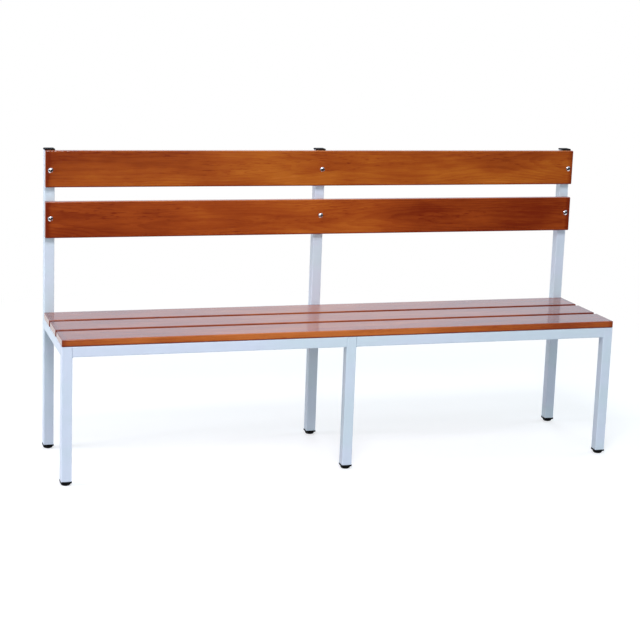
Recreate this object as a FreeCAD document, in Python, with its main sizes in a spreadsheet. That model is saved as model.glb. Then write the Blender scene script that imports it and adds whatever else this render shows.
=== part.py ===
import FreeCAD, Part
import Sketcher
import math
import os

# A slatted bench with a back, on a welded frame of square steel tube.
# X runs along the bench, the sitter faces -Y, Z is up, and the floor is Z = 0.
# The origin lies on the floor, in the middle of the bench's box.

# Driving sizes in millimetres
SIZES = {
    # The bench as a whole
    "bench_length": 1800,
    "seat_height": 450,
    # Square tube of the frame
    "tube_side": 32,
    "tube_wall": 2,
    "tube_inner_radius": 1,
    # Slats of the seat and the back
    "slat_width": 115,
    "slat_thickness": 22,
    "slat_edge_radius": 3,
    "seat_gap": 20,
    "back_clearance": 241,
    "back_gap": 45,
    # Glides in the feet of the tubes
    "foot_flange": 5,
    "foot_overhang": 1,
    "foot_skirt": 2.5,
    "foot_inset": 0.5,
    "foot_dome_radius": 6.5,
    # Caps on the posts
    "cap_rim": 1.5,
    "cap_overhang": 1,
    "cap_edge_radius": 2.5,
    # Ribbed plugs that hold the glides and caps in the tubes
    "plug_clearance": 0.25,
    "plug_wall": 2,
    "plug_lead": 3,
    "rib_pitch": 5,
    "rib_depth": 1.5,
    "rib_thickness": 1.2,
    # Coach bolts that hold the back slats
    "bolt_diameter": 6,
    "bolt_head_diameter": 16,
    "bolt_head_height": 4,
    "bolt_neck_side": 6,
    "bolt_neck_length": 4,
    "bolt_clearance": 0.25,
    "bolt_offset": 4,
    # Washers and domed nuts behind the posts
    "washer_diameter": 14,
    "washer_thickness": 1.6,
    "nut_width": 10,
    "nut_flat_height": 5,
    "nut_dome_diameter": 9.5,
    "nut_grip": 7,
    "nut_bore_clearance": 1,
    "nut_crown": 4,
    # Screws that hold the seat slats from below
    "screw_diameter": 5,
    "screw_head_diameter": 10,
    "screw_head_height": 3.5,
    "screw_cover": 6,
    "screw_point": 4,
    "screw_clearance": 0.2,
    "screw_tip_clearance": 1,
    "screw_margin": 40,
}

# Places of like pieces, counted from the middle of each row
COLUMNS = {"left": -1, "middle": 0, "right": 1}
BAYS = {"left": -1, "right": 1}
SEAT_ROWS = {"front": -1, "middle": 0, "rear": 1}
BACK_ROWS = {"lower": -1, "upper": 1}
RIBS = 4
HEXAGON = 6
FULL_TURN = 360

# Lines and levels that several pieces share
COLUMN_PITCH = "((Sizes.bench_length - Sizes.tube_side) / 2)"
SLAT_PITCH = "(Sizes.slat_width + Sizes.seat_gap)"
BACK_PITCH = "(Sizes.slat_width + Sizes.back_gap)"
SEAT_DEPTH = f"({len(SEAT_ROWS)} * {SLAT_PITCH} - Sizes.seat_gap)"
FOOT_HEIGHT = "(Sizes.foot_dome_radius + Sizes.foot_skirt + Sizes.foot_flange)"
NUT_BORE = "(Sizes.nut_grip + Sizes.nut_bore_clearance)"
NUT_HEIGHT = f"({NUT_BORE} + Sizes.nut_crown)"
BEHIND_POST = f"(Sizes.washer_thickness + {NUT_HEIGHT})"
FULL_DEPTH = f"(Sizes.foot_overhang + {SEAT_DEPTH} + Sizes.tube_side + {BEHIND_POST})"
FRONT_FACE = f"(Sizes.foot_overhang - {FULL_DEPTH} / 2)"
POST_FRONT = f"({FRONT_FACE} + {SEAT_DEPTH})"
POST_REAR = f"({POST_FRONT} + Sizes.tube_side)"
BACK_FRONT = f"({POST_FRONT} - Sizes.slat_thickness)"
LEG_LINE = f"({FRONT_FACE} + Sizes.tube_side / 2)"
POST_LINE = f"({POST_FRONT} + Sizes.tube_side / 2)"
SEAT_LINE = f"({FRONT_FACE} + {SEAT_DEPTH} / 2)"
CROSS_LINE = f"(({LEG_LINE} + {POST_LINE}) / 2)"
SEAT_UNDERSIDE = "(Sizes.seat_height - Sizes.slat_thickness)"
RAIL_UNDERSIDE = f"({SEAT_UNDERSIDE} - Sizes.tube_side)"
RAIL_LEVEL = f"({SEAT_UNDERSIDE} - Sizes.tube_side / 2)"
BACK_BOTTOM = "(Sizes.seat_height + Sizes.back_clearance)"
BACK_LEVEL = f"({BACK_BOTTOM} + {BACK_PITCH} / 2 + Sizes.slat_width / 2)"
BOLT_PITCH = f"({BACK_PITCH} - 2 * Sizes.bolt_offset)"
SCREW_PITCH = "(Sizes.slat_width - 2 * Sizes.screw_margin)"
POST_TOP = f"({BACK_BOTTOM} + {BACK_PITCH} + Sizes.slat_width)"

# Sections and fits that several pieces share
TUBE_CORNER = "(Sizes.tube_inner_radius + Sizes.tube_wall)"
TUBE_BORE = "(Sizes.tube_side - 2 * Sizes.tube_wall)"
RIB_SIDE = f"({TUBE_BORE} - 2 * Sizes.plug_clearance)"
PLUG_SIDE = f"({RIB_SIDE} - 2 * Sizes.rib_depth)"
PLUG_HOLLOW = f"({PLUG_SIDE} - 2 * Sizes.plug_wall)"
PLUG_LENGTH = f"({RIBS} * Sizes.rib_pitch + Sizes.plug_lead)"
BOLT_HOLE = "(Sizes.bolt_diameter + 2 * Sizes.bolt_clearance)"
NECK_HOLE = "(Sizes.bolt_neck_side + 2 * Sizes.bolt_clearance)"
SCREW_HOLE = "(Sizes.screw_diameter + 2 * Sizes.screw_clearance)"
PILOT_DEPTH = "(Sizes.slat_thickness - Sizes.screw_cover)"
SCREW_BITE = f"({PILOT_DEPTH} - Sizes.screw_tip_clearance)"

doc = FreeCAD.newDocument("SlattedBench")
sheet = doc.addObject("Spreadsheet::Sheet", "Sizes")
for row, (alias, millimetres) in enumerate(SIZES.items(), start=1):
    sheet.set(f"A{row}", str(millimetres))
    sheet.setAlias(f"A{row}", alias)
doc.recompute()

subparts = []


def value(expression):
    """What an expression of the sheet's sizes comes to, for a sketch's first guess."""
    return float(sheet.evalExpression(expression))


def new_body(label, x, y, z):
    """An empty body for one sub-part, with its own origin at x, y, z."""
    body = doc.addObject("PartDesign::Body", label)
    body.Label = label
    for axis, place in zip("xyz", (x, y, z)):
        body.setExpression(f"Placement.Base.{axis}", place)
    subparts.append(body)
    return body


def origin_feature(body, role):
    return next(feature for feature in body.Origin.OriginFeatures if feature.Role == role)


def new_sketch(body, plane, name, offset=None):
    """A sketch on one of the body's own planes, lifted off it by an offset where one is given."""
    sketch = body.newObject("Sketcher::SketchObject", name)
    sketch.AttachmentSupport = [(origin_feature(body, plane), "")]
    sketch.MapMode = "FlatFace"
    if offset:
        sketch.setExpression("AttachmentOffset.Base.z", offset)
    return sketch


def constrain(sketch, kind, *where, to=None):
    """Add a constraint, and bind it to an expression where it has a size."""
    if to is None:
        sketch.addConstraint(Sketcher.Constraint(kind, *where))
        return
    index = sketch.addConstraint(Sketcher.Constraint(kind, *where, value(to)))
    sketch.setExpression(f"Constraints[{index}]", to)


# Sketcher's own numbers for the two axes, the points of a curve and the origin
ACROSS_AXIS, UP_AXIS = range(-1, -3, -1)
START, END, CENTRE = range(1, 4)
ORIGIN = (ACROSS_AXIS, START)


def draw_circle(sketch, x, y, diameter):
    """A circle with its centre at x, y, each an expression or None on the axis."""
    centre = FreeCAD.Vector(value(x) if x else 0, value(y) if y else 0, 0)
    circle = sketch.addGeometry(Part.Circle(centre, FreeCAD.Vector(0, 0, 1), value(diameter) / 2))
    if x:
        constrain(sketch, "DistanceX", *ORIGIN, circle, CENTRE, to=x)
    else:
        constrain(sketch, "PointOnObject", circle, CENTRE, UP_AXIS)
    if y:
        constrain(sketch, "DistanceY", *ORIGIN, circle, CENTRE, to=y)
    else:
        constrain(sketch, "PointOnObject", circle, CENTRE, ACROSS_AXIS)
    constrain(sketch, "Diameter", circle, to=diameter)


def draw_rectangle(sketch, width, height, x=None, y=None):
    """A rectangle about x, y, each an expression or None on the axis."""
    half = FreeCAD.Vector(value(width) / 2, value(height) / 2, 0)
    middle = FreeCAD.Vector(value(x) if x else 0, value(y) if y else 0, 0)
    signs = ((-1, -1), (1, -1), (1, 1), (-1, 1))
    corners = [middle + FreeCAD.Vector(a * half.x, b * half.y, 0) for a, b in signs]
    lines = [
        sketch.addGeometry(Part.LineSegment(corner, corners[(number + 1) % len(corners)]))
        for number, corner in enumerate(corners)
    ]
    bottom, right, top, left = lines
    for line, following in zip(lines, lines[1:] + lines[:1]):
        constrain(sketch, "Coincident", line, END, following, START)
    for line in (bottom, top):
        constrain(sketch, "Horizontal", line)
    for line in (left, right):
        constrain(sketch, "Vertical", line)
    constrain(sketch, "DistanceX", bottom, START, bottom, END, to=width)
    constrain(sketch, "DistanceY", right, START, right, END, to=height)
    across = f"({x} - {width} / 2)" if x else f"(-{width} / 2)"
    up = f"({y} - {height} / 2)" if y else f"(-{height} / 2)"
    constrain(sketch, "DistanceX", *ORIGIN, bottom, START, to=across)
    constrain(sketch, "DistanceY", *ORIGIN, bottom, START, to=up)


def draw_rounded_square(sketch, side, corner):
    """A square about the sketch's origin with round corners."""
    half = value(side) / 2
    radius = value(corner)
    inner = half - radius
    lines = []
    arcs = []
    for quarter in range(4):
        turn = FreeCAD.Rotation(FreeCAD.Vector(0, 0, 1), quarter * FULL_TURN / 4)
        start = turn.multVec(FreeCAD.Vector(-inner, -half, 0))
        end = turn.multVec(FreeCAD.Vector(inner, -half, 0))
        lines.append(sketch.addGeometry(Part.LineSegment(start, end)))
        middle = turn.multVec(FreeCAD.Vector(inner, -inner, 0))
        circle = Part.Circle(middle, FreeCAD.Vector(0, 0, 1), radius)
        begin = (quarter - 1) * math.pi / 2
        arcs.append(sketch.addGeometry(Part.ArcOfCircle(circle, begin, begin + math.pi / 2)))
    for line, arc, following in zip(lines, arcs, lines[1:] + lines[:1]):
        constrain(sketch, "Tangent", line, END, arc, START)
        constrain(sketch, "Tangent", arc, END, following, START)
    bottom, right, top, left = lines
    for line in (bottom, top):
        constrain(sketch, "Horizontal", line)
    for line in (left, right):
        constrain(sketch, "Vertical", line)
    for arc in arcs[1:]:
        constrain(sketch, "Equal", arcs[0], arc)
    constrain(sketch, "Symmetric", arcs[0], CENTRE, arcs[2], CENTRE, *ORIGIN)
    constrain(sketch, "Radius", arcs[0], to=corner)
    constrain(sketch, "DistanceX", left, START, right, START, to=side)
    constrain(sketch, "DistanceY", bottom, START, top, START, to=side)


def draw_hexagon(sketch, width):
    """A hexagon about the sketch's origin, with two flats level and width across the flats."""
    reach = value(width) / 2 / math.cos(math.pi / HEXAGON)
    step = 2 * math.pi / HEXAGON
    corners = [
        FreeCAD.Vector(reach * math.cos(number * step), reach * math.sin(number * step), 0)
        for number in range(HEXAGON)
    ]
    lines = [
        sketch.addGeometry(Part.LineSegment(corner, corners[(number + 1) % HEXAGON]))
        for number, corner in enumerate(corners)
    ]
    ring = sketch.addGeometry(
        Part.Circle(FreeCAD.Vector(0, 0, 0), FreeCAD.Vector(0, 0, 1), reach), True
    )
    constrain(sketch, "Coincident", ring, CENTRE, *ORIGIN)
    for line, following in zip(lines, lines[1:] + lines[:1]):
        constrain(sketch, "Coincident", line, END, following, START)
        constrain(sketch, "PointOnObject", line, START, ring)
    for line in lines[1:]:
        constrain(sketch, "Equal", lines[0], line)
    constrain(sketch, "PointOnObject", lines[0], START, ACROSS_AXIS)
    constrain(sketch, "DistanceY", lines[4], START, lines[1], START, to=width)


def draw_half_section(sketch, points, bulges):
    """Half of a turned piece: a closed outline of points beside the upright axis.

    Each point is a pair of expressions, with None for a point on an axis.
    bulges gives the radius of each side that is an arc, by the side's number.
    """
    places = [
        FreeCAD.Vector(value(across) if across else 0, value(up) if up else 0, 0)
        for across, up in points
    ]
    sides = []
    for number, start in enumerate(places):
        end = places[(number + 1) % len(places)]
        if number not in bulges:
            sides.append((sketch.addGeometry(Part.LineSegment(start, end)), START, END))
            continue
        radius = value(bulges[number])
        chord = end - start
        inward = FreeCAD.Vector(-chord.y, chord.x, 0).normalize()
        height = math.sqrt(max(radius ** 2 - (chord.Length / 2) ** 2, 0))
        middle = (start + end) / 2 + inward * height
        begin = math.atan2(start.y - middle.y, start.x - middle.x)
        finish = math.atan2(end.y - middle.y, end.x - middle.x)
        if finish < begin:
            finish += 2 * math.pi
        circle = Part.Circle(middle, FreeCAD.Vector(0, 0, 1), radius)
        arc = sketch.addGeometry(Part.ArcOfCircle(circle, begin, finish))
        sides.append((arc, START, END))
    for (line, _, end), (following, start, _) in zip(sides, sides[1:] + sides[:1]):
        constrain(sketch, "Coincident", line, end, following, start)
    for (line, start, _), (across, up) in zip(sides, points):
        if across:
            constrain(sketch, "DistanceX", *ORIGIN, line, start, to=across)
        else:
            constrain(sketch, "PointOnObject", line, start, UP_AXIS)
        if up:
            constrain(sketch, "DistanceY", *ORIGIN, line, start, to=up)
        else:
            constrain(sketch, "PointOnObject", line, start, ACROSS_AXIS)
    for number, radius in bulges.items():
        constrain(sketch, "Radius", sides[number][0], to=radius)


def pad(body, sketch, length, both_ways=False, backwards=False):
    feature = body.newObject("PartDesign::Pad", f"{sketch.Name}_pad")
    feature.Profile = sketch
    feature.SideType = "Symmetric" if both_ways else "One side"
    feature.Reversed = backwards
    feature.setExpression("Length", length)
    doc.recompute()
    return feature


def pocket(body, sketch, depth=None, backwards=False):
    """Cut a sketch into the body to a depth, or right through both ways where none is given."""
    feature = body.newObject("PartDesign::Pocket", f"{sketch.Name}_pocket")
    feature.Profile = sketch
    feature.Reversed = backwards
    if depth:
        feature.setExpression("Length", depth)
    else:
        feature.SideType = "Symmetric"
        feature.Type = "ThroughAll"
    doc.recompute()
    return feature


def revolve(body, sketch, axis):
    feature = body.newObject("PartDesign::Revolution", f"{sketch.Name}_turn")
    feature.Profile = sketch
    feature.ReferenceAxis = (origin_feature(body, axis), [""])
    feature.Angle = FULL_TURN
    doc.recompute()
    return feature


def repeat(body, features, axis, extent, count, backwards=False, second=None):
    """Repeat features along an axis over an extent, and along a second axis where one is given."""
    pattern = body.newObject("PartDesign::LinearPattern", "Pattern")
    pattern.Originals = features
    pattern.Direction = (origin_feature(body, axis), [""])
    pattern.Reversed = backwards
    pattern.setExpression("Length", extent)
    pattern.Occurrences = count
    if second:
        second_axis, second_extent, second_count = second
        pattern.Direction2 = (origin_feature(body, second_axis), [""])
        pattern.setExpression("Length2", second_extent)
        pattern.Occurrences2 = second_count
    body.Tip = pattern
    doc.recompute()


def tube(body, plane, length, both_ways):
    """A length of square tube, with rounded corners inside and out."""
    section = new_sketch(body, plane, "TubeSection")
    draw_rounded_square(section, "Sizes.tube_side", TUBE_CORNER)
    draw_rounded_square(section, TUBE_BORE, "Sizes.tube_inner_radius")
    pad(body, section, length, both_ways)


def upright_tube(label, column, line, top):
    """A tube that stands in a glide and reaches up to a level."""
    body = new_body(label, f"{column} * {COLUMN_PITCH}", line, FOOT_HEIGHT)
    tube(body, "XY_Plane", f"{top} - {FOOT_HEIGHT}", both_ways=False)
    return body


def front_leg(side, column):
    upright_tube(f"front_leg_{side}", column, LEG_LINE, SEAT_UNDERSIDE)


def rear_post(side, column):
    """A leg and back upright in one length, drilled for the bolts of both back slats."""
    body = upright_tube(f"rear_post_{side}", column, POST_LINE, POST_TOP)
    drilling = new_sketch(body, "XZ_Plane", "BoltHoles")
    for row in BACK_ROWS.values():
        level = f"({BACK_LEVEL} + {row} * {BOLT_PITCH} / 2 - {FOOT_HEIGHT})"
        draw_circle(drilling, None, level, BOLT_HOLE)
    pocket(body, drilling)


def long_rail(label, bay, line):
    """A rail between two uprights, just under the seat slats."""
    body = new_body(label, f"{bay} * {COLUMN_PITCH} / 2", line, RAIL_LEVEL)
    tube(body, "YZ_Plane", f"{COLUMN_PITCH} - Sizes.tube_side", both_ways=True)


def cross_rail(side, column):
    """A rail from front leg to rear post, drilled for the screws of the seat slats."""
    body = new_body(f"cross_rail_{side}", f"{column} * {COLUMN_PITCH}", CROSS_LINE, RAIL_LEVEL)
    tube(body, "XZ_Plane", f"{POST_LINE} - {LEG_LINE} - Sizes.tube_side", both_ways=True)
    drilling = new_sketch(body, "XY_Plane", "ScrewHoles")
    for row in SEAT_ROWS.values():
        for end in BAYS.values():
            slat_line = f"({SEAT_LINE} - {CROSS_LINE} + {row} * {SLAT_PITCH})"
            draw_circle(drilling, None, f"({slat_line} + {end} * {SCREW_PITCH} / 2)", SCREW_HOLE)
    pocket(body, drilling)


def board(body, plane, both_ways):
    """A planed board as long as the bench, with every edge rounded over."""
    outline = new_sketch(body, plane, "BoardOutline")
    draw_rectangle(outline, "Sizes.bench_length", "Sizes.slat_width")
    thickness = pad(body, outline, "Sizes.slat_thickness", both_ways)
    rounding = body.newObject("PartDesign::Fillet", "RoundedEdges")
    rounding.Base = (thickness, [""])
    rounding.UseAllEdges = True
    rounding.setExpression("Radius", "Sizes.slat_edge_radius")
    doc.recompute()


def seat_slat(place, row):
    """A seat board, with blind holes in its underside for the screws."""
    line = f"({SEAT_LINE} + {row} * {SLAT_PITCH})"
    body = new_body(f"seat_slat_{place}", "0", line, SEAT_UNDERSIDE)
    board(body, "XY_Plane", both_ways=False)
    drilling = new_sketch(body, "XY_Plane", "PilotHoles")
    for column in COLUMNS.values():
        across = f"({column} * {COLUMN_PITCH})" if column else None
        for end in BAYS.values():
            draw_circle(drilling, across, f"({end} * {SCREW_PITCH} / 2)", SCREW_HOLE)
    pocket(body, drilling, PILOT_DEPTH, backwards=True)


def back_slat(place, row):
    """A back board, with a bolt hole at each post that starts square for the bolt's neck."""
    level = f"({BACK_LEVEL} + {row} * {BACK_PITCH} / 2)"
    line = f"({BACK_FRONT} + Sizes.slat_thickness / 2)"
    body = new_body(f"back_slat_{place}", "0", line, level)
    board(body, "XZ_Plane", both_ways=True)
    bolt_row = f"(-{row} * Sizes.bolt_offset)"
    drilling = new_sketch(body, "XZ_Plane", "BoltHoles")
    seats = new_sketch(body, "XZ_Plane", "NeckSeats", "Sizes.slat_thickness / 2")
    for column in COLUMNS.values():
        across = f"({column} * {COLUMN_PITCH})" if column else None
        draw_circle(drilling, across, bolt_row, BOLT_HOLE)
        draw_rectangle(seats, NECK_HOLE, NECK_HOLE, across, bolt_row)
    pocket(body, drilling)
    pocket(body, seats, "Sizes.bolt_neck_length + Sizes.bolt_clearance")


def ribbed_plug(body, level, downwards):
    """The hollow plug of a glide or cap, with ribs that grip the inside of the tube.

    level is where the plug leaves the lid or flange, or None on the body's own plane.
    """
    way = "-" if downwards else "+"
    start = level or ""
    core = new_sketch(body, "XY_Plane", "PlugCore", level)
    draw_rounded_square(core, PLUG_SIDE, "Sizes.tube_inner_radius")
    pad(body, core, PLUG_LENGTH, backwards=downwards)
    rib = new_sketch(body, "XY_Plane", "Rib", f"{start} {way} Sizes.rib_pitch")
    draw_rounded_square(rib, RIB_SIDE, "Sizes.tube_inner_radius")
    first_rib = pad(body, rib, "Sizes.rib_thickness", backwards=not downwards)
    repeat(body, [first_rib], "Z_Axis", f"{RIBS - 1} * Sizes.rib_pitch", RIBS, backwards=downwards)
    hollow = new_sketch(body, "XY_Plane", "PlugHollow", f"{start} {way} {PLUG_LENGTH}")
    draw_rounded_square(hollow, PLUG_HOLLOW, "Sizes.tube_inner_radius")
    body.Tip = pocket(body, hollow, PLUG_LENGTH, backwards=downwards)
    doc.recompute()


def foot_glide(label, column, line):
    """A moulded glide: a round domed foot, a square flange under the tube's end and a plug."""
    body = new_body(label, f"{column} * {COLUMN_PITCH}", line, "0")
    dome = new_sketch(body, "XZ_Plane", "DomeSection")
    dome_edge = "(Sizes.tube_side / 2 - Sizes.foot_inset)"
    flange_bottom = f"({FOOT_HEIGHT} - Sizes.foot_flange)"
    dome_outline = (
        (None, None),
        (f"({dome_edge} - Sizes.foot_dome_radius)", None),
        (dome_edge, "Sizes.foot_dome_radius"),
        (dome_edge, f"({flange_bottom} + Sizes.foot_flange / 2)"),
        (None, f"({flange_bottom} + Sizes.foot_flange / 2)"),
    )
    draw_half_section(dome, dome_outline, {1: "Sizes.foot_dome_radius"})
    revolve(body, dome, "Z_Axis")
    flange = new_sketch(body, "XY_Plane", "Flange", flange_bottom)
    flange_side = "(Sizes.tube_side + 2 * Sizes.foot_overhang)"
    draw_rounded_square(flange, flange_side, f"({TUBE_CORNER} + Sizes.foot_overhang)")
    pad(body, flange, "Sizes.foot_flange")
    ribbed_plug(body, FOOT_HEIGHT, downwards=False)


def post_cap(side, column):
    """A moulded cap: a square lid with a softened top and a plug down into the post."""
    body = new_body(f"post_cap_{side}", f"{column} * {COLUMN_PITCH}", POST_LINE, POST_TOP)
    lid = new_sketch(body, "XY_Plane", "Lid")
    lid_side = "(Sizes.tube_side + 2 * Sizes.cap_overhang)"
    draw_rounded_square(lid, lid_side, f"({TUBE_CORNER} + Sizes.cap_overhang)")
    thickness = pad(body, lid, "Sizes.cap_rim + Sizes.cap_edge_radius")
    top = max(range(len(thickness.Shape.Faces)), key=lambda n: thickness.Shape.Faces[n].CenterOfMass.z)
    softening = body.newObject("PartDesign::Fillet", "SoftenedTop")
    softening.Base = (thickness, [f"Face{top + 1}"])
    softening.setExpression("Radius", "Sizes.cap_edge_radius")
    doc.recompute()
    ribbed_plug(body, None, downwards=True)


def at_every_bolt(body, features):
    """Repeat a fastener along the posts and up to the second row of the back."""
    rows = ("Z_Axis", BOLT_PITCH, len(BACK_ROWS))
    repeat(body, features, "X_Axis", f"2 * {COLUMN_PITCH}", len(COLUMNS), second=rows)


def bolt_body(label, line):
    """A body whose origin lies on the axis of the lower left bolt."""
    return new_body(label, f"-{COLUMN_PITCH}", line, f"({BACK_LEVEL} - {BOLT_PITCH} / 2)")


def back_bolts():
    """Coach bolts: a domed head, a square neck in the wood and a shank through the post."""
    body = bolt_body("back_bolts", BACK_FRONT)
    section = new_sketch(body, "XY_Plane", "BoltSection")
    head_radius = "(Sizes.bolt_head_diameter / 2)"
    shank_radius = "(Sizes.bolt_diameter / 2)"
    crown = f"(({head_radius} ^ 2 + Sizes.bolt_head_height ^ 2) / (2 * Sizes.bolt_head_height))"
    reach = "(Sizes.slat_thickness + Sizes.tube_side + Sizes.washer_thickness + Sizes.nut_grip)"
    outline = (
        (None, "-Sizes.bolt_head_height"),
        (head_radius, None),
        (shank_radius, None),
        (shank_radius, reach),
        (None, reach),
    )
    draw_half_section(section, outline, {0: crown})
    turned = revolve(body, section, "Y_Axis")
    neck = new_sketch(body, "XZ_Plane", "NeckSection")
    draw_rectangle(neck, "Sizes.bolt_neck_side", "Sizes.bolt_neck_side")
    square = pad(body, neck, "Sizes.bolt_neck_length", backwards=True)
    at_every_bolt(body, [turned, square])


def back_washers():
    body = bolt_body("back_washers", POST_REAR)
    ring = new_sketch(body, "XZ_Plane", "WasherRing")
    draw_circle(ring, None, None, "Sizes.washer_diameter")
    draw_circle(ring, None, None, BOLT_HOLE)
    at_every_bolt(body, [pad(body, ring, "Sizes.washer_thickness", backwards=True)])


def back_nuts():
    """Domed nuts: a hexagon, a rounded cap over the bolt's end and a blind bore."""
    body = bolt_body("back_nuts", f"({POST_REAR} + Sizes.washer_thickness)")
    flats = new_sketch(body, "XZ_Plane", "NutFlats")
    draw_hexagon(flats, "Sizes.nut_width")
    hexagon = pad(body, flats, "Sizes.nut_flat_height", backwards=True)
    section = new_sketch(body, "XY_Plane", "NutDome")
    radius = "(Sizes.nut_dome_diameter / 2)"
    outline = (
        (None, "Sizes.nut_flat_height / 2"),
        (radius, "Sizes.nut_flat_height / 2"),
        (radius, f"({NUT_HEIGHT} - {radius})"),
        (None, NUT_HEIGHT),
    )
    draw_half_section(section, outline, {2: radius})
    dome = revolve(body, section, "Y_Axis")
    bore = new_sketch(body, "XZ_Plane", "NutBore")
    draw_circle(bore, None, None, BOLT_HOLE)
    blind = pocket(body, bore, NUT_BORE)
    at_every_bolt(body, [hexagon, dome, blind])


def seat_screws(place, row):
    """The screws of one seat board: a pan head under the cross rail and a pointed shank."""
    line = f"({SEAT_LINE} + {row} * {SLAT_PITCH} - {SCREW_PITCH} / 2)"
    body = new_body(f"seat_screws_{place}", f"-{COLUMN_PITCH}", line, RAIL_UNDERSIDE)
    section = new_sketch(body, "XZ_Plane", "ScrewSection")
    head_radius = "(Sizes.screw_head_diameter / 2)"
    shank_radius = "(Sizes.screw_diameter / 2)"
    crown = f"(({head_radius} ^ 2 + Sizes.screw_head_height ^ 2) / (2 * Sizes.screw_head_height))"
    reach = f"(Sizes.tube_side + {SCREW_BITE})"
    outline = (
        (None, "-Sizes.screw_head_height"),
        (head_radius, None),
        (shank_radius, None),
        (shank_radius, f"({reach} - Sizes.screw_point)"),
        (None, reach),
    )
    draw_half_section(section, outline, {0: crown})
    turned = revolve(body, section, "Z_Axis")
    pairs = ("Y_Axis", SCREW_PITCH, len(BAYS))
    repeat(body, [turned], "X_Axis", f"2 * {COLUMN_PITCH}", len(COLUMNS), second=pairs)


def build():
    for side, column in COLUMNS.items():
        front_leg(side, column)
        rear_post(side, column)
        cross_rail(side, column)
        foot_glide(f"foot_front_{side}", column, LEG_LINE)
        foot_glide(f"foot_rear_{side}", column, POST_LINE)
        post_cap(side, column)
    for side, bay in BAYS.items():
        long_rail(f"front_rail_{side}", bay, LEG_LINE)
        long_rail(f"rear_rail_{side}", bay, POST_LINE)
    for place, row in SEAT_ROWS.items():
        seat_slat(place, row)
        seat_screws(place, row)
    for place, row in BACK_ROWS.items():
        back_slat(place, row)
    back_bolts()
    back_washers()
    back_nuts()
    doc.recompute()


def check():
    """Stop before anything is written if a feature failed or a cut took nothing away."""
    for item in doc.Objects:
        if {"Invalid", "Error"} & set(item.State):
            raise RuntimeError(f"{item.Label} failed: {item.State}")
        if item.TypeId == "PartDesign::Pocket" and item.BaseFeature:
            if item.Shape.Volume >= item.BaseFeature.Shape.Volume:
                raise RuntimeError(f"{item.Label} cuts nothing")
    for body in subparts:
        if body.Shape.isNull() or not body.Shape.isValid() or not body.Shape.Solids:
            raise RuntimeError(f"{body.Label} has no valid solid")


build()
check()
os.makedirs("parts", exist_ok=True)
for body in subparts:
    body.Shape.exportStep(f"parts/{body.Label}.step")
    print(body.Label, len(body.Shape.Solids), "solid(s)", round(body.Shape.Volume), "cubic mm")
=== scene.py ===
"""A slatted bench with a back, dressed around its frame of solids.

The file is laid out as an add-on and is run as a script. It loads the bench's
solids, gives every piece its finish, models the welds and the fasteners in
full, and sets up a plain studio with a camera.
"""
import math
from typing import NamedTuple

import bmesh
import bpy
from mathutils import Matrix, Vector


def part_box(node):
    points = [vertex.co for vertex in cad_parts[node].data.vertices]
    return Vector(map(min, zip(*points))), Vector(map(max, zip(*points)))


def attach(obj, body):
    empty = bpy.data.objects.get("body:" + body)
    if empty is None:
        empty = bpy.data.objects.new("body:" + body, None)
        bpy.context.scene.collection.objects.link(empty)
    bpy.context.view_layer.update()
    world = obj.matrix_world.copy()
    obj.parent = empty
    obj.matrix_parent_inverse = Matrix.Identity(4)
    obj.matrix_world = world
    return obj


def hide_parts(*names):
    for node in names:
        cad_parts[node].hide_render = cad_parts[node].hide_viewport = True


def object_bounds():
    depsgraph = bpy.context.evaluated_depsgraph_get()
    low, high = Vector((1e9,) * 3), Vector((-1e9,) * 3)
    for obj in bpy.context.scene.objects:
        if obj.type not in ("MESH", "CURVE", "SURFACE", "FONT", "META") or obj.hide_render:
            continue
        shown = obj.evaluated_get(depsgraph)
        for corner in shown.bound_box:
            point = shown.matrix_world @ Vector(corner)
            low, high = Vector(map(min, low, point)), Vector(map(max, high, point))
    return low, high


bl_info = {
    "name": "Slatted Bench",
    "version": (1, 0, 0),
    "blender": (4, 5, 0),
    "location": "3D View > Sidebar > Bench",
    "description": "Dresses a slatted bench with a back on a frame of square tube",
    "category": "Object",
}

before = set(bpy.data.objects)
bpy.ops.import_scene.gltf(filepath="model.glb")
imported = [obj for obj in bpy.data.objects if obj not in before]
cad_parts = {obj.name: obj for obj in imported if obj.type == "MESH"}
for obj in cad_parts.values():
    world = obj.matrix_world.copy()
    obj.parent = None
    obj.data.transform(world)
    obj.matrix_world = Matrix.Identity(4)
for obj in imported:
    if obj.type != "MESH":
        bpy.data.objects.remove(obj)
CAD_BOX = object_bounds()

# Names of the bench's rows, columns and pieces
BODY = "root"
COLUMNS = ("left", "middle", "right")
BAYS = ("left", "right")
SIDES = ("front", "rear")
SEAT_ROWS = ("front", "middle", "rear")
LEGS = [f"front_leg_{column}" for column in COLUMNS]
POSTS = [f"rear_post_{column}" for column in COLUMNS]
CROSS_RAILS = [f"cross_rail_{column}" for column in COLUMNS]
LONG_RAILS = [f"{side}_rail_{bay}" for side in SIDES for bay in BAYS]
GLIDES = [f"foot_{side}_{column}" for side in SIDES for column in COLUMNS]
CAPS = [f"post_cap_{column}" for column in COLUMNS]

MILLIMETRE = 0.001
UP = Vector((0, 0, 1))
DOWN = Vector((0, 0, -1))
FORWARD = Vector((0, -1, 0))
BACKWARD = Vector((0, 1, 0))
WHITE = (1, 1, 1, 1)
BLACK = (0, 0, 0, 1)


# Settings


def row(name, description, default, **kind):
    """A row of numbers that a user can change."""
    return bpy.props.FloatVectorProperty(
        name=name, description=description, default=default, size=len(default), **kind
    )


def colour(name, description, default):
    """A colour in linear light."""
    return row(name, description, default, subtype="COLOR", min=0, max=1)


def between(name, description, default):
    """The least and the most of a number from nothing to one."""
    return row(name, description, default, min=0, max=1)


def number(name, description, default, **kind):
    """A number that a user can change."""
    return bpy.props.FloatProperty(name=name, description=description, default=default, **kind)


def length(name, description, millimetres):
    """A length, given in millimetres and kept in metres."""
    return number(name, description, millimetres * MILLIMETRE, unit="LENGTH", precision=5)


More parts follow.
